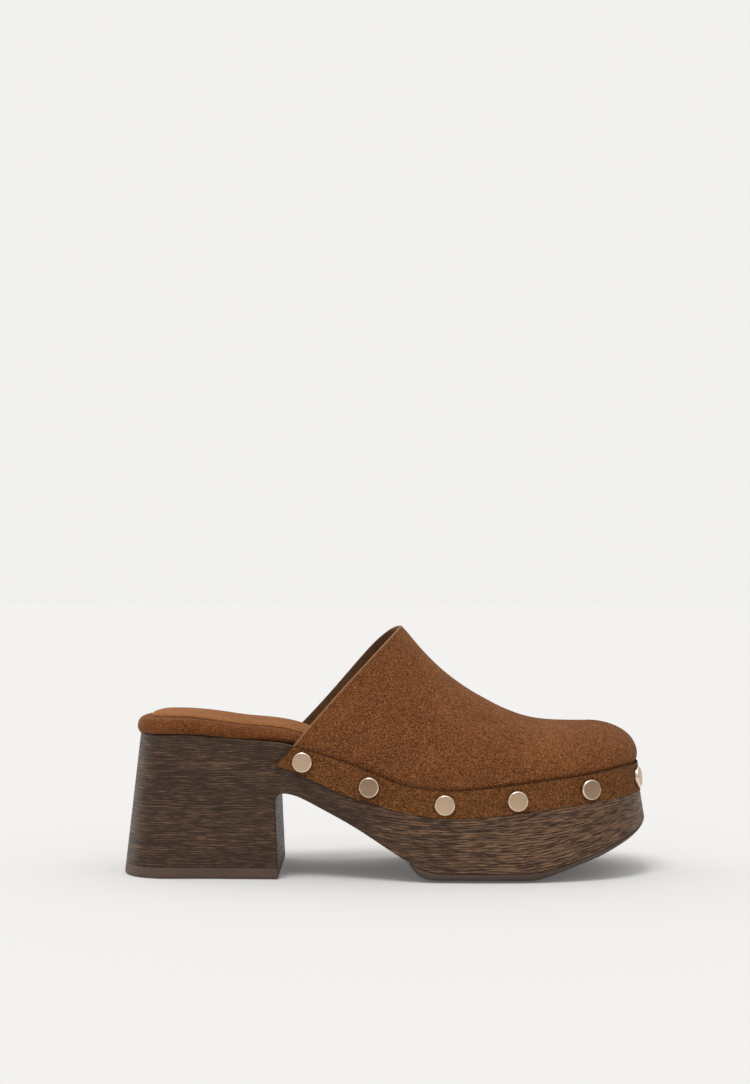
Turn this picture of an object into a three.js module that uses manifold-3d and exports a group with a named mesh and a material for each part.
import * as THREE from 'three';
import { mergeVertices } from 'three/addons/utils/BufferGeometryUtils.js';
import Module from 'manifold-3d';

// Right-foot platform clog. Millimetres. +X toe, +Z up, lateral (outer) side on -Y.
// The origin is on the ground under the middle of the shoe.

// ---------------------------------------------------------------- driving dimensions
const SHIFT = { x: 0.06, y: 1.5 };  // centres the finished shoe on the origin
const TOP_PIECE_H = 5.2;            // rubber lift under the heel
const JOINT = 0.1;                  // glue line between wood and rubber
const MARGIN_GAP = 0.15;            // wood to vamp margin
const VAMP_T = 1.0;                 // suede vamp
const BAND_GAP = 0.15;
const BAND_T = 1.0;                 // suede rand band
const LINING_T = 0.75;
const INTER_T = 0.55;               // backing cloth between vamp and lining
const PUFF_T = 0.8;                 // toe stiffener
const LAYER_GAP = 0.18;
const LAYER_LIFT = 0.3;             // lower edge of the inner layers above the wood
const TAPE_TRIM = 0.08;             // share of a hoop spacing the tape stops short
const MARGIN_SHORT = 1.0;           // vamp margin ends this far above the band's lower edge
const CORNER_X = -45;               // where the topline meets the feather edge, lateral side
const MEDIAL_CORNER_SHIFT = -3.6;   // the medial corner lies further back
const BREAST_RAKE = 1.7;            // heel breast moves forward this much down to the ground

const LATERAL = -1;
const MEDIAL = 1;

// Top edge of the wood seen from above, rear centre first, toe last.
// Columns: lateral x, y, medial x, y.
const OUTLINE = [
  [-122.4, 0, -122.4, 0],
  [-122.0, -9, -122.0, 9],
  [-120.6, -17, -120.6, 17],
  [-117, -24, -117, 24],
  [-111, -29.2, -111, 29],
  [-102.5, -31.6, -102.5, 31.2],
  [-90, -32.6, -90, 32.0],
  [-72, -33.6, -72, 32.8],
  [-48, -35.4, -48, 33.4],
  [-27, -39, -27, 34],
  [-6, -43.2, -6, 35.4],
  [23, -47, 23, 39.8],
  [48, -48, 48, 43.6],
  [74, -46.2, 74, 44.6],
  [92, -42.6, 92, 42.2],
  [105, -37.2, 105, 37.6],
  [115, -29.2, 115, 30.4],
  [121, -19.6, 121.2, 21.6],
  [124.4, -9, 124.7, 12],
  [125.4, 1.5, 125.4, 1.5],
];
// Outward flare per millimetre below the top edge, one value per outline pair.
const FLARE = [
  0.11, 0.11, 0.115, 0.115, 0.1, 0.08, 0.0625, 0.0625, 0.0625, 0.07,
  0.085, 0.1, 0.1, 0.1, 0.105, 0.115, 0.13, 0.145, 0.155, 0.158,
];

// The tables below hold x first, then the value at that x.
// Height of the wood's top edge.
const TOP_Z = [
  [-122.4, 68.9], [-95, 69.0], [-72, 67.0], [-48, 64.7], [-36, 61.5], [-26.5, 58.9],
  [-18.4, 56.3], [-6.4, 51.7], [5.7, 46.9], [14.3, 44.9], [22.8, 43.9], [31.4, 43.4],
  [39.9, 43.9], [57, 45.6], [74.3, 47.9], [91.8, 49.9], [105.3, 52.1], [115, 53.5], [126, 54.1],
];
// Height of the rand band's lower edge.
const BAND_LOW = [
  [-140, 56], [-60, 56], [-52.7, 54.2], [-46.7, 52.2], [-38.5, 49.0], [-30.5, 45.7],
  [-22.4, 42.1], [-14.4, 39.1], [-2.9, 35.8], [5.7, 33.4], [14.3, 31.8], [22.8, 30.6],
  [31.4, 30.2], [39.9, 30.3], [48.5, 31.2], [57, 32.0], [74.3, 34.2], [91.8, 36.4],
  [105.3, 38.3], [120.7, 39.7], [127.9, 39.8],
];
// Underside of the wood in front of the heel breast; the breast top is first, then its fillet.
const ARCH = [
  [-53.8, 37.5], [-53.2, 39.2], [-52.2, 40.3], [-51.0, 40.85], [-49.5, 40.9], [-44, 39.9],
  [-40.3, 38.4], [-31.8, 34.2], [-14.8, 25.2], [2.2, 14.6], [10.6, 9.5], [16, 6.5], [22, 4.8],
  [30, 4.2], [50, 4.2], [65, 4.3], [76, 5.2], [83.5, 7.1], [92.3, 10.1], [101.6, 13.2],
  [111, 17.0], [121, 21.4], [127.7, 25.0], [132, 28.2],
];
// Walking surface of the forefoot outsole.
const GROUND = [
  [11, 7.2], [15.9, 2.2], [20.2, 0.4], [26, 0], [70, 0], [76, 1.1], [83.5, 3.5],
  [92.3, 6.7], [101.6, 9.9], [111, 13.9], [121, 18.4], [127.7, 22.0], [132, 25.2],
];
// Depth of the rebate that takes the vamp margin and the band, at its top and its bottom.
const REBATE_TOP = [[-61, 0], [-45, 0.8], [10, 1.1], [140, 1.1]];
const REBATE_LOW = [[-66, 0], [-50, 0.85], [10, 1.95], [140, 1.95]];
// Ridge of the vamp from the topline's peak to the end of the level toe box.
const RIDGE = [
  [7.8, 121.8], [13.9, 115.3], [19.9, 108.7], [26.0, 102.4], [32.0, 97.1], [38.1, 92.5],
  [44.2, 88.5], [50.2, 85.2], [56.3, 81.9], [62.3, 79.2], [68.4, 76.9], [74.4, 75.4],
  [82, 74.5], [92, 74.2], [101.7, 74.2],
];
// Footbed edge: outward offset from the wood's top edge, and height of the rim above the wood.
const BED_OFF = [
  [-125, 1.7], [-112, 1.6], [-100, 1.4], [-80, 1.0], [-65, -0.4], [-55, -2.2],
  [-47, -3.3], [-38, -4.1], [130, -4.1],
];
const BED_H = [
  [-125, 7.9], [-105, 7.9], [-85, 7.4], [-70, 6.8], [-55, 6.5], [-46, 6.4], [-10, 5.1], [130, 5.0],
];
// Height of the raised sock pad above the rim.
const PAD_H = [[-110, 1.75], [-80, 1.35], [130, 1.3]];

const [BREAST_X, BREAST_Z] = ARCH[0];
const PEAK_X = RIDGE[0][0];
const PEAK_Y = 0.4;
const POLE_X = RIDGE[RIDGE.length - 1][0];   // front end of the ridge, where the toe hoop ends
const POLE_SHIFT_Y = 1.1;                    // ridge drifts medially from peak to pole

// Rear grid stations as places on the outline, and the counts of the vamp grid.
const REAR_PLACES = [0, 0.5, 1, 1.5, 2, 2.34, 2.67, 3, 3.34, 3.67, 4, 4.5, 5, 6, 7, 7.4];
const HOOPS = 17;
const RISE = 7;     // steps from the rim up to the ridge

const MATERIALS = {
  wood: { color: 0x4f3b2f, roughness: 0.6 },
  heelRubber: { color: 0x55453a, roughness: 0.7 },
  soleRubber: { color: 0x55453a, roughness: 0.8 },
  suede: { color: 0x754a2e, roughness: 0.95 },
  band: { color: 0x6b4127, roughness: 0.95 },
  lining: { color: 0x3c2d23, roughness: 0.9 },
  cloth: { color: 0x8c7a66, roughness: 0.95 },
  puff: { color: 0xb9a98c, roughness: 0.8 },
  tape: { color: 0xc7b08c, roughness: 0.9 },
  stud: { color: 0xcdb38d, roughness: 0.35, metalness: 1 },
  studSteel: { color: 0x9a9ca0, roughness: 0.45, metalness: 1 },
  tackSteel: { color: 0x9a9ca0, roughness: 0.5, metalness: 1 },
  board: { color: 0x9c7b52, roughness: 0.9 },
  foam: { color: 0xd8cba8, roughness: 0.9 },
  bed: { color: 0x7d4e2f, roughness: 0.95 },
  pad: { color: 0xcabd9e, roughness: 0.9 },
  sock: { color: 0x8a5a38, roughness: 0.95 },
};

// ---------------------------------------------------------------- curves
const { clamp, smoothstep } = THREE.MathUtils;

function linear(table) {
  return (x) => {
    if (x <= table[0][0]) return table[0][1];
    for (let i = 1; i < table.length; i++) {
      const [startX, start] = table[i - 1];
      const [endX, end] = table[i];
      if (x <= endX) return start + (x - startX) / (endX - startX) * (end - start);
    }
    return table[table.length - 1][1];
  };
}

function hermite(start, end, startSlope, endSlope, span, share) {
  const square = share * share;
  const cube = square * share;
  return (2 * cube - 3 * square + 1) * start + (cube - 2 * square + share) * span * startSlope
    + (3 * square - 2 * cube) * end + (cube - square) * span * endSlope;
}

// Slope at a point from its two neighbours, weighted towards the nearer one.
function blendSlope(before, here, after, spanBefore, spanAfter) {
  return ((here - before) / spanBefore * spanAfter + (after - here) / spanAfter * spanBefore)
    / (spanBefore + spanAfter);
}

// Smooth curve through the table, carried on straight past both ends.
function spline(table) {
  const last = table.length - 1;
  const chordSlope = (i) => (table[i + 1][1] - table[i][1]) / (table[i + 1][0] - table[i][0]);
  const slopes = table.map(([x, value], i) => {
    if (i === 0) return chordSlope(0);
    if (i === last) return chordSlope(last - 1);
    const [beforeX, before] = table[i - 1];
    const [afterX, after] = table[i + 1];
    return blendSlope(before, value, after, x - beforeX, afterX - x);
  });
  return (x) => {
    if (x <= table[0][0]) return table[0][1] + slopes[0] * (x - table[0][0]);
    if (x >= table[last][0]) return table[last][1] + slopes[last] * (x - table[last][0]);
    let i = 0;
    while (x > table[i + 1][0]) i++;
    const [startX, start] = table[i];
    const [endX, end] = table[i + 1];
    const span = endX - startX;
    return hermite(start, end, slopes[i], slopes[i + 1], span, (x - startX) / span);
  };
}

const topZ = spline(TOP_Z);
const bandLow = linear(BAND_LOW);
const arch = linear(ARCH);
const ground = linear(GROUND);
const rebateTop = linear(REBATE_TOP);
const rebateLow = linear(REBATE_LOW);
const ridge = spline(RIDGE);
const bedOff = spline(BED_OFF);
const bedHeight = linear(BED_H);
const padHeight = linear(PAD_H);
const flare = linear(FLARE.map((value, i) => [i, value]));

// ---------------------------------------------------------------- outline and side wall
// A place runs along one side from 0 (rear centre) to LAST (toe), one unit per outline pair.
const LAST = OUTLINE.length - 1;

// Closed ring of outline points: lateral rear to toe, then back along the medial side.
const ring = [
  ...OUTLINE.map(([x, y]) => [x, y]),
  ...OUTLINE.slice(1, LAST).reverse().map((row) => [row[2], row[3]]),
];
const RING_COUNT = ring.length;
const chords = ring.map((point, i) => {
  const next = ring[(i + 1) % RING_COUNT];
  return Math.hypot(next[0] - point[0], next[1] - point[1]);
});
const ringSlopes = ring.map((point, i) => {
  const previous = (i + RING_COUNT - 1) % RING_COUNT;
  const before = ring[previous];
  const after = ring[(i + 1) % RING_COUNT];
  return [0, 1].map((k) => blendSlope(before[k], point[k], after[k], chords[previous], chords[i]));
});

function ringPoint(position) {
  const wrapped = ((position % RING_COUNT) + RING_COUNT) % RING_COUNT;
  const i = Math.floor(wrapped) % RING_COUNT;
  const j = (i + 1) % RING_COUNT;
  const share = wrapped - Math.floor(wrapped);
  return [0, 1].map((k) => hermite(
    ring[i][k], ring[j][k], ringSlopes[i][k], ringSlopes[j][k], chords[i], share,
  ));
}

// Point on the wood's top edge, with the outward direction seen from above.
function rim(side, place) {
  const position = side < 0 ? place : (RING_COUNT - place) % RING_COUNT;
  const nearby = 0.02;
  const [x, y] = ringPoint(position);
  const before = ringPoint(position - nearby);
  const after = ringPoint(position + nearby);
  const alongX = after[0] - before[0];
  const alongY = after[1] - before[1];
  const length = Math.hypot(alongX, alongY);
  return { x, y, outX: alongY / length, outY: -alongX / length };
}

function rebateDepth(x, z) {
  const top = topZ(x);
  const share = clamp((top - z) / (top - bandLow(x)), 0, 1);
  return rebateTop(x) * (1 - share) + rebateLow(x) * share;
}

// Point on the side of the wood at height z, pushed out by off, as if there were no rebate.
function fullWall(side, place, z, off = 0, depthAt = () => 0) {
  const { x, y, outX, outY } = rim(side, place);
  const push = flare(place) * (topZ(x) - z) - depthAt(x, z) + off;
  return [x + outX * push, y + outY * push, z];
}
// The same with the rebate taken off.
const wall = (side, place, z, off = 0) => fullWall(side, place, z, off, rebateDepth);

// Place where xAt reaches x, by bisection.
function placeWhere(xAt, x) {
  let low = 0;
  let high = LAST;
  for (let i = 0; i < 50; i++) {
    const middle = (low + high) / 2;
    if (xAt(middle) < x) low = middle;
    else high = middle;
  }
  return (low + high) / 2;
}
const placeOnWall = (side, x, z, wallAt = fullWall) => (
  placeWhere((place) => wallAt(side, place, z)[0], x)
);

// Arc length along one side, measured on the rim.
function measureSide(side) {
  const table = [[0, 0]];
  const stepsPerPair = 40;
  let previous = rim(side, 0);
  let total = 0;
  for (let i = 1; i <= LAST * stepsPerPair; i++) {
    const point = rim(side, i / stepsPerPair);
    total += Math.hypot(point.x - previous.x, point.y - previous.y);
    table.push([i / stepsPerPair, total]);
    previous = point;
  }
  const lengthAt = linear(table);
  const placeAt = linear(table.map(([place, length]) => [length, place]));
  const cornerX = CORNER_X + (side > 0 ? MEDIAL_CORNER_SHIFT : 0);
  const corner = lengthAt(placeWhere((place) => rim(side, place).x, cornerX));
  return { lengthAt, placeAt, total, corner };
}
const arcs = { [LATERAL]: measureSide(LATERAL), [MEDIAL]: measureSide(MEDIAL) };

// tau runs from 0 at the topline corner to 1 at the toe; back shifts towards the heel.
function placeAtTau(side, tau, back = 0) {
  const { corner, total, placeAt } = arcs[side];
  return placeAt(corner + tau * (total - corner) - back);
}

// ---------------------------------------------------------------- mesh helpers
function makeGeometry(positions, index) {
  const geometry = new THREE.BufferGeometry();
  geometry.setAttribute('position', new THREE.Float32BufferAttribute(positions, 3));
  geometry.setIndex([...index]);
  return geometry;
}

// Turns every triangle over if the enclosed volume comes out negative.
function faceOut(geometry) {
  const index = geometry.index.array;
  const corners = [0, 1, 2].map(() => new THREE.Vector3());
  let volume = 0;
  for (let i = 0; i < index.length; i += 3) {
    corners.forEach((corner, k) => {
      corner.fromBufferAttribute(geometry.attributes.position, index[i + k]);
    });
    volume += corners[0].dot(corners[1].clone().cross(corners[2]));
  }
  if (volume < 0) {
    for (let i = 0; i < index.length; i += 3) {
      [index[i + 1], index[i + 2]] = [index[i + 2], index[i + 1]];
    }
  }
  return geometry;
}

// Collects triangles and joins corners that fall on the same point.
class Mesher {
  constructor() {
    this.points = [];
    this.triangles = [];
    this.ids = new Map();
  }

  id(point) {
    const key = point.map((value) => Math.round(value * 2000)).join(',');
    if (!this.ids.has(key)) {
      this.ids.set(key, this.points.length);
      this.points.push([...point]);
    }
    return this.ids.get(key);
  }

  tri(...corners) {
    const [i, j, k] = corners.map((corner) => this.id(corner));
    if (i !== j && j !== k && k !== i) this.triangles.push([i, j, k]);
  }

  // Splits a quad along its shorter diagonal.
  quad(p0, p1, p2, p3) {
    const diagonal02 = Math.hypot(p0[0] - p2[0], p0[1] - p2[1], p0[2] - p2[2]);
    const diagonal13 = Math.hypot(p1[0] - p3[0], p1[1] - p3[1], p1[2] - p3[2]);
    if (diagonal02 <= diagonal13) {
      this.tri(p0, p1, p2);
      this.tri(p0, p2, p3);
    } else {
      this.tri(p0, p1, p3);
      this.tri(p1, p2, p3);
    }
  }

  grid(rows) {
    for (let i = 0; i + 1 < rows.length; i++) {
      for (let j = 0; j + 1 < rows[i].length; j++) {
        this.quad(rows[i][j], rows[i][j + 1], rows[i + 1][j + 1], rows[i + 1][j]);
      }
    }
  }

  geometry() {
    return faceOut(makeGeometry(this.points.flat(), this.triangles.flat()));
  }
}

// Skin round the shoe, closed above and below by strips that join the two sides.
// profile[k](side, station) gives the k-th point from the bottom up.
function drape(stations, profile, { capLow = true, capHigh = true, mesh = new Mesher() } = {}) {
  const columns = (side) => stations.map((station) => profile.map((at) => at(side, station)));
  const lateral = columns(LATERAL);
  const medial = columns(MEDIAL);
  mesh.grid(lateral);
  const top = profile.length - 1;
  for (let i = 0; i + 1 < stations.length; i++) {
    const here = medial[i];
    const next = medial[i + 1];
    for (let j = 0; j < top; j++) mesh.quad(here[j], next[j], next[j + 1], here[j + 1]);
  }
  for (let i = 0; i + 1 < stations.length; i++) {
    if (capLow) mesh.quad(lateral[i][0], lateral[i + 1][0], medial[i + 1][0], medial[i][0]);
    if (capHigh) {
      mesh.quad(lateral[i][top], medial[i][top], medial[i + 1][top], lateral[i + 1][top]);
    }
  }
  return mesh;
}

// Face across the shoe at one station, between two profile points.
function crossFace(mesh, station, first, second) {
  mesh.quad(
    first(LATERAL, station), second(LATERAL, station),
    second(MEDIAL, station), first(MEDIAL, station),
  );
}

const wasm = await Module();
wasm.setup();

// Positions only, shared corners joined, collapsed triangles dropped.
function weld(geometry) {
  const bare = geometry.clone();
  for (const name of Object.keys(bare.attributes)) {
    if (name !== 'position') bare.deleteAttribute(name);
  }
  const welded = mergeVertices(bare, 1e-4);
  const index = welded.index.array;
  const kept = [];
  for (let i = 0; i < index.length; i += 3) {
    const [first, second, third] = index.slice(i, i + 3);
    if (first !== second && second !== third && third !== first) kept.push(first, second, third);
  }
  welded.setIndex(kept);
  return welded;
}

function solid(geometry) {
  const welded = weld(geometry);
  return new wasm.Manifold(new wasm.Mesh({
    numProp: 3,
    vertProperties: new Float32Array(welded.attributes.position.array),
    triVerts: new Uint32Array(welded.index.array),
  }));
}

function cut(mesher, cutters) {
  let body = solid(mesher.geometry());
  for (const cutter of cutters) body = body.subtract(solid(cutter));
  const { vertProperties, triVerts } = body.getMesh();
  return makeGeometry(vertProperties, triVerts);
}

// Turned shape about z; the profile holds radius, z.
function turned(profile, segments) {
  const points = profile.map(([radius, z]) => new THREE.Vector2(radius, z));
  return faceOut(weld(new THREE.LatheGeometry(points, segments).rotateX(Math.PI / 2)));
}
const rod = (radius, low, high, segments) => (
  new THREE.CylinderGeometry(radius, radius, high - low, segments)
    .rotateX(Math.PI / 2)
    .translate(0, 0, (low + high) / 2)
);

// ---------------------------------------------------------------- scene graph
const clog = new THREE.Group();
const shoe = new THREE.Group();
shoe.position.set(SHIFT.x, SHIFT.y, 0);
clog.add(shoe);

function add(name, geometry, finish) {
  geometry.computeVertexNormals();
  const material = new THREE.MeshStandardMaterial({ ...finish, flatShading: true });
  const mesh = new THREE.Mesh(geometry, material);
  mesh.name = name;
  shoe.add(mesh);
}

// ---------------------------------------------------------------- stations
const rearStations = REAR_PLACES.map((place) => ({ place: () => place }));
const breastStation = {
  place: (side, z = BREAST_Z) => {
    const rake = z < BREAST_Z ? (BREAST_Z - z) * BREAST_RAKE / BREAST_Z : 0;
    return placeOnWall(side, BREAST_X + rake, z);
  },
};
const filletStations = ARCH.slice(1, 5).map(([x, z]) => ({
  place: (side) => placeOnWall(side, x, z),
}));
const taus = Array.from({ length: HOOPS + 1 }, (_, i) => i / HOOPS);
const foreStations = taus.map((tau) => ({ place: (side) => placeAtTau(side, tau) }));
const heelStations = [...rearStations, breastStation];
const frontStations = [breastStation, ...filletStations, ...foreStations];
const stations = [...rearStations, ...frontStations];

// ---------------------------------------------------------------- wooden sole
// Height on the wall that agrees with an underside curve, found by repeated substitution.
function settle(z, heightAt) {
  for (let i = 0; i < 25; i++) z = heightAt(z);
  return z;
}
// Lowest wood height for a column in front of the breast.
const woodBottom = (side, place) => (
  settle(30, (z) => arch(Math.max(fullWall(side, place, z)[0], BREAST_X)))
);

function woodenSole() {
  const ledge = (x) => bandLow(x) - 0.15;
  // The step below the rebate spreads into a slope behind the band.
  const ledgeFoot = (x) => ledge(x) - 3.5 * clamp((-52.5 - x) / 4, 0, 1);
  const atHeight = (heightAt, wallAt = wall) => (side, station) => {
    const place = station.place(side);
    return wallAt(side, place, heightAt(rim(side, place).x));
  };
  const underside = (side, station) => {
    const place = station.place(side);
    const z = heelStations.includes(station) ? BREAST_Z : woodBottom(side, place);
    return fullWall(side, place, z);
  };
  const heelBottom = (side, station) => {
    const z = TOP_PIECE_H + JOINT;
    return fullWall(side, station.place(side, z), z);
  };
  const mesh = drape(stations, [
    underside,
    atHeight(ledgeFoot, fullWall),
    atHeight(ledge),
    atHeight((x) => (ledge(x) + topZ(x)) / 2),
    atHeight(topZ),
  ], { capLow: false });
  drape(heelStations, [heelBottom, underside], { capHigh: false, mesh });
  crossFace(mesh, breastStation, heelBottom, underside);
  drape(frontStations, [underside], { capHigh: false, mesh });
  return mesh;
}

// ---------------------------------------------------------------- rubber parts
function heelTopPiece() {
  const at = (z, off) => (side, station) => fullWall(side, station.place(side, z), z, off);
  const profile = [at(0, -0.7), at(0.7, 0), at(TOP_PIECE_H, 0)];   // bevelled lower edge
  const mesh = drape(heelStations, profile);
  crossFace(mesh, breastStation, profile[0], profile[1]);
  crossFace(mesh, breastStation, profile[1], profile[2]);
  return mesh;
}

function forefootOutsole() {
  // Rear stations: x, and the wall height it is measured at.
  const rearEdge = [[11, 7.5], [13.5, 7.5], [15.9, 5], [20.2, 4]];
  const soleStations = [
    ...rearEdge.map(([x, z]) => ({ place: (side) => placeOnWall(side, x, z) })),
    ...foreStations.filter((station) => rim(LATERAL, station.place(LATERAL)).x > 24),
  ];
  const under = (inset, lift) => (side, station) => {
    const place = station.place(side);
    const z = settle(3, (height) => ground(fullWall(side, place, height, -inset)[0]));
    return fullWall(side, place, z + lift, -inset);
  };
  const tread = under(9.5, 0);
  const shoulder = under(0.7, 1.9);
  const top = (side, station) => {
    const place = station.place(side);
    return fullWall(side, place, woodBottom(side, place) - JOINT, -0.1);
  };
  const mesh = drape(soleStations, [tread, shoulder, top]);
  crossFace(mesh, soleStations[0], shoulder, tread);
  crossFace(mesh, soleStations[0], top, shoulder);
  return mesh;
}

// ---------------------------------------------------------------- vamp surface
const VAMP_FACE = MARGIN_GAP + VAMP_T;     // outer face of the vamp margin, out from the wood

function bezier([p0, p1, p2, p3], share) {
  const rest = 1 - share;
  return [0, 1, 2].map((k) => rest * rest * rest * p0[k] + 3 * rest * rest * share * p1[k]
    + 3 * rest * share * share * p2[k] + share * share * share * p3[k]);
}

// One half of a hoop: share 0 at the rim, 1 on the ridge.
function vampPoint(side, tau, share) {
  const place = placeAtTau(side, tau);
  const edge = rim(side, place);
  const foot = wall(side, place, topZ(edge.x), VAMP_FACE);
  const crownX = PEAK_X + (POLE_X - PEAK_X) * tau;
  const crown = [crownX, PEAK_Y + POLE_SHIFT_Y * tau, ridge(crownX)];
  const height = crown[2] - foot[2];
  const toe = smoothstep(tau, 0.72, 1);
  const rear = 1 - smoothstep(tau, 0, 0.35);
  // Start: up, leaning out a little; the topline hoop leans forward in its own plane.
  const out = 0.16 + 0.24 * toe;
  const up = 0.5 + 0.075 * toe;
  const lean = (side < 0 ? 0.45 : 0.52) * (crown[0] - foot[0]) * rear;
  const bow = side < 0 ? 0 : 9 * rear;
  const lowerHandle = [
    foot[0] + edge.outX * out * up * height + lean,
    foot[1] + edge.outY * out * up * height,
    foot[2] + up * height,
  ];
  // End: level across the ridge, turning along the ridge at the toe.
  const step = 0.5;
  const ridgeSlope = (ridge(crownX + step) - ridge(crownX - step)) / (2 * step);
  const angle = (Math.PI / 2) * smoothstep(tau, 0.55, 1) ** 1.2;
  const reach = 0.6 * Math.hypot(foot[0] - crown[0], foot[1] - crown[1]);
  const upperHandle = [
    crown[0] + Math.sin(angle) * reach - bow,
    crown[1] + side * Math.cos(angle) * reach,
    crown[2] + Math.sin(angle) * ridgeSlope * reach,
  ];
  return bezier([foot, lowerHandle, upperHandle, crown], share);
}

// Each hoop runs from the lateral rim over the ridge to the medial rim.
function hoop(tau) {
  const points = [];
  for (let i = 0; i <= RISE; i++) points.push(vampPoint(LATERAL, tau, i / RISE));
  for (let i = RISE - 1; i >= 0; i--) points.push(vampPoint(MEDIAL, tau, i / RISE));
  return points;
}
const hoops = taus.map(hoop);
const HOOP_END = 2 * RISE;      // index of a hoop's last point

// Vertex normals of the outer surface, averaged over the joined mesh; level at the rim.
function hoopNormals() {
  const mesh = new Mesher();
  mesh.grid(hoops);
  const sums = mesh.points.map(() => new THREE.Vector3());
  for (const triangle of mesh.triangles) {
    const [first, second, third] = triangle.map((id) => new THREE.Vector3(...mesh.points[id]));
    const normal = new THREE.Vector3().crossVectors(second.sub(first), third.sub(first));
    for (const id of triangle) sums[id].add(normal);
  }
  const flip = sums[mesh.id(hoops[1][RISE])].z < 0 ? -1 : 1;
  return hoops.map((points, j) => points.map((point, i) => {
    if (i === 0 || i === HOOP_END) {
      const side = i === 0 ? LATERAL : MEDIAL;
      const { outX, outY } = rim(side, placeAtTau(side, taus[j]));
      return new THREE.Vector3(outX, outY, 0).normalize();
    }
    return sums[mesh.id(point)].clone().multiplyScalar(flip).normalize();
  }));
}
const normals = hoopNormals();

// Surface at a depth below the outer face; lift, if given, sets its ends above the wood.
function layer(depth, lift = null) {
  return hoops.map((points, j) => points.map((point, i) => {
    const normal = normals[j][i].toArray();
    const moved = point.map((value, k) => value - normal[k] * depth);
    if (lift !== null && (i === 0 || i === HOOP_END)) moved[2] = topZ(moved[0]) + lift;
    return moved;
  }));
}

// Closed shell between two surfaces, over the hoops from..to. The toe hoop folds shut on
// itself, so a shell that reaches it needs no front edge.
function hoopShell(outerSurface, innerSurface, from = 0, to = HOOPS) {
  const mesh = new Mesher();
  const outer = outerSurface.slice(from, to + 1);
  const inner = innerSurface.slice(from, to + 1);
  mesh.grid(outer);
  mesh.grid(inner.map((points) => [...points].reverse()));
  const last = outer[0].length - 1;
  const end = outer.length - 1;
  for (let j = 0; j < end; j++) {
    mesh.quad(outer[j][0], outer[j + 1][0], inner[j + 1][0], inner[j][0]);
    mesh.quad(outer[j][last], inner[j][last], inner[j + 1][last], outer[j + 1][last]);
  }
  for (let i = 0; i < last; i++) {
    mesh.quad(outer[0][i], inner[0][i], inner[0][i + 1], outer[0][i + 1]);
  }
  if (to < HOOPS) {
    for (let i = 0; i < last; i++) {
      mesh.quad(outer[end][i], outer[end][i + 1], inner[end][i + 1], inner[end][i]);
    }
  }
  return mesh;
}

// Point on the wall a share of the way down the band, stopping short of its lower edge.
// Near the corner it shears towards the heel as it goes down.
function skirtPoint(side, tau, share, off, short = 0) {
  const shear = 0.72 * Math.max(0, 1 - tau / 0.25);
  const startX = rim(side, placeAtTau(side, tau)).x;
  const drop = (topZ(startX) - bandLow(startX) - short) * share;
  const place = placeAtTau(side, tau, shear * drop);
  const x = rim(side, place).x;
  return wall(side, place, topZ(x) - (topZ(x) - bandLow(x) - short) * share, off);
}

// Outer vamp with its lasting margin.
function vampOuter() {
  const withMargin = (surface, off) => surface.map((points, j) => {
    const margin = (side, share) => skirtPoint(side, taus[j], share, off, MARGIN_SHORT);
    return [
      margin(LATERAL, 1), margin(LATERAL, 0.5),
      ...points,
      margin(MEDIAL, 0.5), margin(MEDIAL, 1),
    ];
  });
  return hoopShell(withMargin(layer(0), VAMP_FACE), withMargin(layer(VAMP_T), MARGIN_GAP));
}

// ---------------------------------------------------------------- layers under the vamp
const MIDDLE_DEPTH = VAMP_T + LAYER_GAP;
const LINING_DEPTH = MIDDLE_DEPTH + PUFF_T + LAYER_GAP;

function innerLayer(depth, thickness, from, to) {
  return hoopShell(layer(depth, LAYER_LIFT), layer(depth + thickness, LAYER_LIFT), from, to);
}

// Tape along the topline, one hoop spacing wide less the trim at its front edge.
function toplineTape() {
  const surface = (depth) => {
    const [rear, front] = layer(depth, LAYER_LIFT);
    const trimmed = front.map((point, i) => (
      point.map((value, k) => value + (rear[i][k] - value) * TAPE_TRIM)
    ));
    return [rear, trimmed];
  };
  return hoopShell(surface(MIDDLE_DEPTH), surface(MIDDLE_DEPTH + INTER_T), 0, 1);
}

// ---------------------------------------------------------------- rand band
const BAND_BACK = VAMP_FACE + BAND_GAP;
const BAND_FACE = BAND_BACK + BAND_T;

function randBand() {
  const section = (side, tau) => [
    skirtPoint(side, tau, 0, BAND_BACK),
    skirtPoint(side, tau, 0, BAND_FACE),
    skirtPoint(side, tau, 1, BAND_FACE),
    skirtPoint(side, tau, 1, BAND_BACK),
  ];
  const sections = [
    ...taus.map((tau) => section(LATERAL, tau)),
    ...taus.slice(0, -1).reverse().map((tau) => section(MEDIAL, tau)),
  ];
  const mesh = new Mesher();
  mesh.grid(sections.map((points) => [...points, points[0]]));
  const [r0, r1, r2, r3] = sections[0];
  mesh.quad(r0, r3, r2, r1);
  const [e0, e1, e2, e3] = sections[sections.length - 1];
  mesh.quad(e1, e2, e3, e0);
  return mesh;
}

// ---------------------------------------------------------------- studs, nails, lasting tacks
const STUD_R = 5.0;         // flat tack head with a bevelled rim
const STUD_H = 1.75;        // stands proud of the band
const STUD_SINK = 0.35;
const SKIRT_R = 4.45;       // inside radius at the stud's open side
const NAIL_LEN = 14;        // stud shank, driven into the wood
const TACK_LEN = 9;         // small lasting tacks under the band
const POINT_LEN = 3;        // tapered end of a nail or tack
const HOLE_SPARE = 0.8;     // hole depth past the point
const PIN_SEGMENTS = 6;
const STUD_SEGMENTS = 14;
const HEAD_SEAT_SEGMENTS = 8;
// Stud x on each side, in order round the shoe: lateral heel to toe, medial toe to heel.
const STUD_ROWS = [
  [LATERAL, [-40.1, -7.7, 28.3, 62.8, 97.7, 122.4]],
  [MEDIAL, [121.8, 98, 62, 27, -9, -43]],
];
const HEEL_NAILS = [[-115, 1.5], [-93, -19.5], [-93, 19.5], [-68, 1.5]];   // x, y

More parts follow.
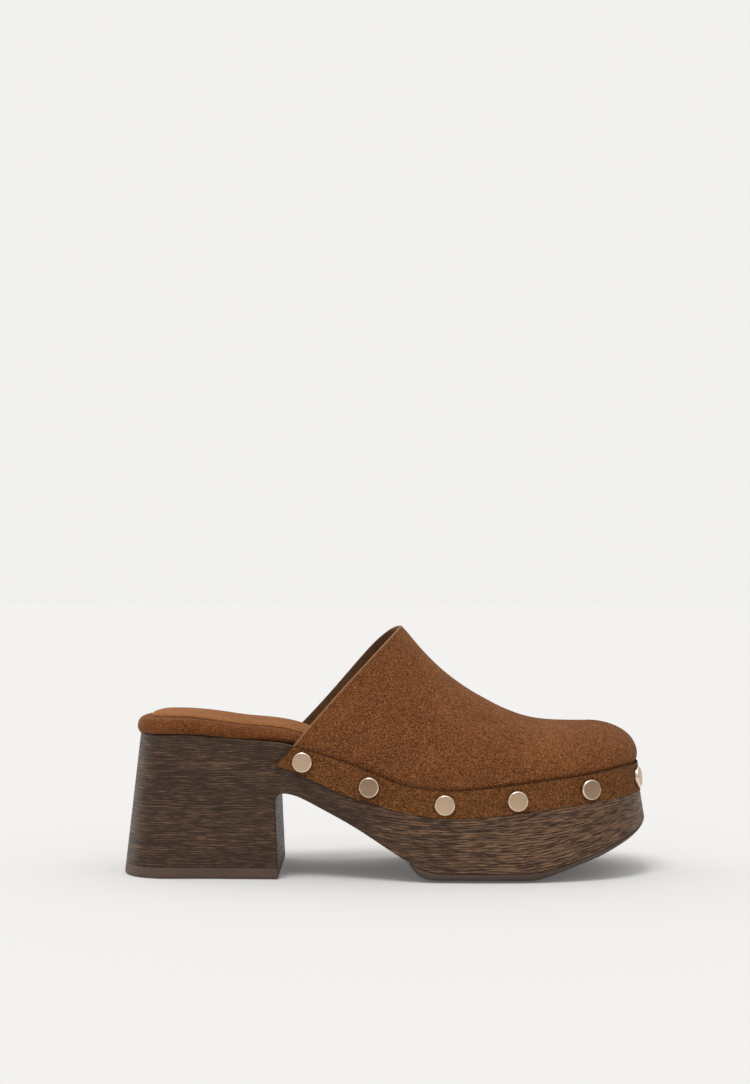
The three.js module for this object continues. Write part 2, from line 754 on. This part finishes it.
// How far down the band each stud sits, as a share of its height, along x.
const studDrop = linear([[-10, 0.5], [28, 0.52], [62, 0.57], [98, 0.55], [120, 0.5]]);
const TACK_DROP = 0.47;

// Turned profiles: radius, z, with z = 0 on the face the part sits on.
const STUD_CAP = [
  [SKIRT_R, -STUD_SINK], [STUD_R, -STUD_SINK], [STUD_R, 1.0], [4.35, STUD_H], [0, STUD_H + 0.05],
  [0, 1.2], [4.2, 1.15], [SKIRT_R, -STUD_SINK],
];
const STUD_NAIL = [
  [0, 0.9], [3.2, 0.8], [3.2, 0.15], [0.9, 0.1], [0.9, -NAIL_LEN + POINT_LEN], [0, -NAIL_LEN],
];
const TACK = [
  [0, 0.55], [1.5, 0.5], [2.1, 0.2], [0.7, 0.12], [0.7, -TACK_LEN + POINT_LEN], [0, -TACK_LEN],
];
// Driven upwards; z from the ground.
const HEEL_NAIL = [[0, 0.35], [2.2, 0.35], [2.2, 1.05], [0.95, 1.15], [0.95, 15], [0, 18]];

// Frame with z along the outward normal of the band and x along it.
function bandFrame(side, place, share, off) {
  const wallVector = (at, z) => new THREE.Vector3(...wall(side, at, z, off));
  const bandZ = (at) => {
    const top = topZ(rim(side, at).x);
    return top + share * (bandLow(rim(side, at).x) - top);
  };
  const onBand = (at) => wallVector(at, bandZ(at));
  const z = bandZ(place);
  const up = wallVector(place, z + 2).sub(wallVector(place, z - 2));
  const nearby = 0.05;
  const along = onBand(Math.min(place + nearby, LAST)).sub(onBand(place - nearby)).normalize();
  const normal = new THREE.Vector3().crossVectors(along, up).normalize();
  const { outX, outY } = rim(side, place);
  if (normal.x * outX + normal.y * outY < 0) normal.negate();
  const across = new THREE.Vector3().crossVectors(normal, along).normalize();
  return new THREE.Matrix4().makeBasis(along, across, normal).setPosition(onBand(place));
}

const studs = STUD_ROWS.flatMap(([side, row]) => row.map((x) => (
  { side, place: placeOnWall(side, x, (topZ(x) + bandLow(x)) / 2, wall) }
)));
const studFrames = studs.map(({ side, place }) => (
  bandFrame(side, place, studDrop(rim(side, place).x), BAND_FACE)
));

// A lasting tack midway between each two studs, by arc length round the toe.
const lateralArc = arcs[LATERAL].total;
const roundArc = lateralArc + arcs[MEDIAL].total;
function arcRound({ side, place }) {
  const length = arcs[side].lengthAt(place);
  return side < 0 ? length : roundArc - length;
}
const tackFrames = studs.slice(1).map((stud, i) => {
  const middle = (arcRound(studs[i]) + arcRound(stud)) / 2;
  const side = middle < lateralArc ? LATERAL : MEDIAL;
  const place = arcs[side].placeAt(side < 0 ? middle : roundArc - middle);
  return bandFrame(side, place, TACK_DROP, VAMP_FACE);
});

const rodsAt = (frames, ...size) => frames.map((frame) => rod(...size).applyMatrix4(frame));
const heelRods = (...size) => HEEL_NAILS.map(([x, y]) => rod(...size).translate(x, y, 0));
const studHoles = rodsAt(studFrames, 1.3, -NAIL_LEN - HOLE_SPARE, 3, PIN_SEGMENTS);
const studSeats = rodsAt(studFrames, STUD_R + 0.2, -STUD_SINK - 0.12, 3, STUD_SEGMENTS);
const tackHoles = rodsAt(tackFrames, 1.0, -TACK_LEN - HOLE_SPARE, 2, PIN_SEGMENTS);
const tackSeats = rodsAt(tackFrames, 2.5, -0.6, 0.75, HEAD_SEAT_SEGMENTS);
const heelHoles = heelRods(1.25, -2, 19, PIN_SEGMENTS);
const heelSinks = heelRods(2.5, -2, 1.4, HEAD_SEAT_SEGMENTS);

// ---------------------------------------------------------------- sole, upper and fastenings
const soleCuts = [...studHoles, ...tackHoles, ...heelHoles];
add('wooden_sole', cut(woodenSole(), soleCuts), MATERIALS.wood);
add('heel_top_piece', cut(heelTopPiece(), [...heelHoles, ...heelSinks]), MATERIALS.heelRubber);
add('forefoot_outsole', forefootOutsole().geometry(), MATERIALS.soleRubber);
add('vamp_outer', cut(vampOuter(), [...studHoles, ...tackHoles]), MATERIALS.suede);
add('rand_band', cut(randBand(), [...studSeats, ...studHoles, ...tackSeats]), MATERIALS.band);
add('vamp_lining', innerLayer(LINING_DEPTH, LINING_T).geometry(), MATERIALS.lining);
add('vamp_interlining', innerLayer(MIDDLE_DEPTH, INTER_T, 1, 11).geometry(), MATERIALS.cloth);
add('toe_puff', innerLayer(MIDDLE_DEPTH, PUFF_T, 12, HOOPS).geometry(), MATERIALS.puff);
add('topline_tape', toplineTape().geometry(), MATERIALS.tape);

const twoDigits = (number) => String(number).padStart(2, '0');
studFrames.forEach((frame, i) => {
  const number = twoDigits(i + 1);
  const cap = turned(STUD_CAP, STUD_SEGMENTS).applyMatrix4(frame);
  const nail = turned(STUD_NAIL, PIN_SEGMENTS).applyMatrix4(frame);
  add(`stud_cap_${number}`, cap, MATERIALS.stud);
  add(`stud_nail_${number}`, nail, MATERIALS.studSteel);
});
tackFrames.forEach((frame, i) => {
  const tack = turned(TACK, PIN_SEGMENTS).applyMatrix4(frame);
  add(`lasting_tack_${twoDigits(i + 1)}`, tack, MATERIALS.tackSteel);
});
HEEL_NAILS.forEach(([x, y], i) => {
  const nail = turned(HEEL_NAIL, PIN_SEGMENTS).translate(x, y, 0);
  add(`heel_top_piece_nail_${i + 1}`, nail, MATERIALS.tackSteel);
});

// ---------------------------------------------------------------- footbed
const bedStations = [...heelStations, ...foreStations];

// Profile point: offset out from the footbed edge, and height above the wood, either a
// number or a function of the rim height and the pad height.
const bedPoint = (off, height) => (side, station) => {
  const edge = rim(side, station.place(side));
  const push = bedOff(edge.x) + off;
  const x = edge.x + edge.outX * push;
  const y = edge.y + edge.outY * push;
  const isNumber = typeof height === 'number';
  const rise = isNumber ? height : height(bedHeight(edge.x), padHeight(edge.x));
  return [x, y, topZ(x) + rise];
};
const bedProfile = (rows) => rows.map(([off, height]) => bedPoint(off, height));
const bedSolid = (rows) => drape(bedStations, bedProfile(rows)).geometry();

// Cover open underneath: outer and inner skins joined along their lower edges.
function bedCover(outerRows, innerRows) {
  const outer = bedProfile(outerRows);
  const inner = bedProfile(innerRows);
  const outerSkin = drape(bedStations, outer, { capLow: false });
  const innerSkin = drape(bedStations, inner, { capLow: false });
  const mesh = new Mesher();
  for (const triangle of outerSkin.triangles) {
    mesh.tri(...triangle.map((id) => outerSkin.points[id]));
  }
  for (const [first, second, third] of innerSkin.triangles) {
    mesh.tri(...[first, third, second].map((id) => innerSkin.points[id]));
  }
  const join = (side, from, to) => mesh.quad(
    outer[0](side, from), outer[0](side, to), inner[0](side, to), inner[0](side, from),
  );
  for (let i = 0; i + 1 < bedStations.length; i++) {
    join(LATERAL, bedStations[i], bedStations[i + 1]);
    join(MEDIAL, bedStations[i + 1], bedStations[i]);
  }
  return mesh.geometry();
}

add('insole_board', bedSolid([[-3.5, 0.25], [-3.5, 1.6]]), MATERIALS.board);
add('footbed_foam', bedSolid([
  [-2.4, 1.8],
  [-1.2, (bed) => 0.45 * bed],
  [-2.1, (bed) => 0.74 * bed],
  [-3.7, (bed) => 0.97 * bed - 1.15],
  [-6.6, (bed) => bed - 1.15],
]), MATERIALS.foam);
add('footbed_cover', bedCover([
  [-1.2, 0.25],
  [0, (bed) => 0.45 * bed],
  [-0.9, (bed) => 0.8 * bed],
  [-2.9, (bed) => 0.97 * bed],
  [-6.3, (bed) => bed],
], [
  [-2.15, 0.25],
  [-0.98, (bed) => 0.45 * bed],
  [-1.85, (bed) => 0.76 * bed],
  [-3.4, (bed) => 0.97 * bed - 0.95],
  [-6.5, (bed) => bed - 0.95],
]), MATERIALS.bed);
add('sock_pad_foam', bedSolid([
  [-8.6, (bed) => bed + 0.18],
  [-9.2, (bed, pad) => bed + pad - 0.92],
]), MATERIALS.pad);
add('sock_lining', bedCover([
  [-6.9, (bed) => bed + 0.18],
  [-7.1, (bed, pad) => bed + 0.55 * pad],
  [-8.1, (bed, pad) => bed + 0.88 * pad],
  [-10, (bed, pad) => bed + pad],
], [
  [-7.7, (bed) => bed + 0.18],
  [-8.2, (bed, pad) => bed + pad - 0.85],
  [-10.2, (bed, pad) => bed + pad - 0.7],
]), MATERIALS.sock);

export default clog;
